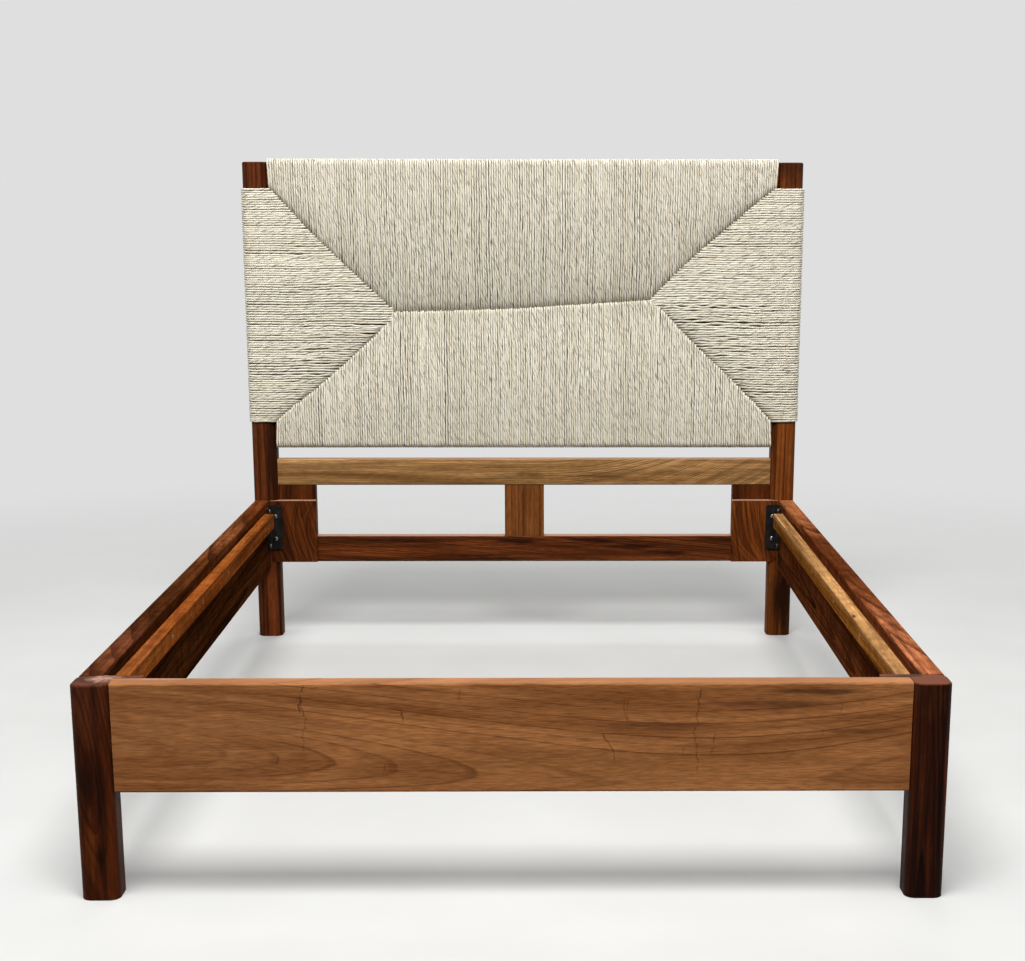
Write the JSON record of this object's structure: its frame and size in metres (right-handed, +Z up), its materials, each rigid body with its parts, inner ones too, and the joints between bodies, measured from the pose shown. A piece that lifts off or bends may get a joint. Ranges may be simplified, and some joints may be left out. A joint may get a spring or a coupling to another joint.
{
  "type": "bed frame",
  "caption": "Hardwood bed frame with square legs, plank rails, slat ledges, bolted steel corner brackets, and a tall headboard of cord wound in sloped fields that meet at a seam.",
  "frame": {"origin": "on the floor, under the middle of the whole bed", "axes": "+X to the right seen from the foot, +Y from foot to head, +Z up"},
  "size_m": [1.6366, 2.1782, 1.4133],
  "materials": {
    "dark_hardwood": "oiled, satin",
    "light_hardwood": "oiled, satin",
    "cord": "twisted natural cord",
    "black_steel": "black, satin",
    "bolt_steel": "bright zinc"
  },
  "bodies": {
    "root": {"foot_leg_left": "dark_hardwood", "foot_leg_right": "dark_hardwood", "head_post_left": "dark_hardwood", "head_post_right": "dark_hardwood", "side_rail_left": "dark_hardwood", "side_rail_right": "dark_hardwood", "head_block_left": "dark_hardwood", "head_block_right": "dark_hardwood", "foot_block_left": "dark_hardwood", "foot_block_right": "dark_hardwood", "head_stile_left": "dark_hardwood", "head_stile_right": "dark_hardwood", "head_lower_rail": "dark_hardwood", "head_weave_rail": "dark_hardwood", "head_top_rail": "dark_hardwood", "footboard": "light_hardwood", "head_upper_rail": "light_hardwood", "head_center_stile": "light_hardwood", "ledger_left": "light_hardwood", "ledger_right": "light_hardwood", "weave_top": "cord", "weave_bottom": "cord", "weave_left": "cord", "weave_right": "cord", "head_bracket_left": "black_steel", "head_bracket_right": "black_steel", "foot_bracket_left": "black_steel", "foot_bracket_right": "black_steel", "bracket_bolts": "bolt_steel", "ledger_screws": "bolt_steel"}
  },
  "joints": []
}
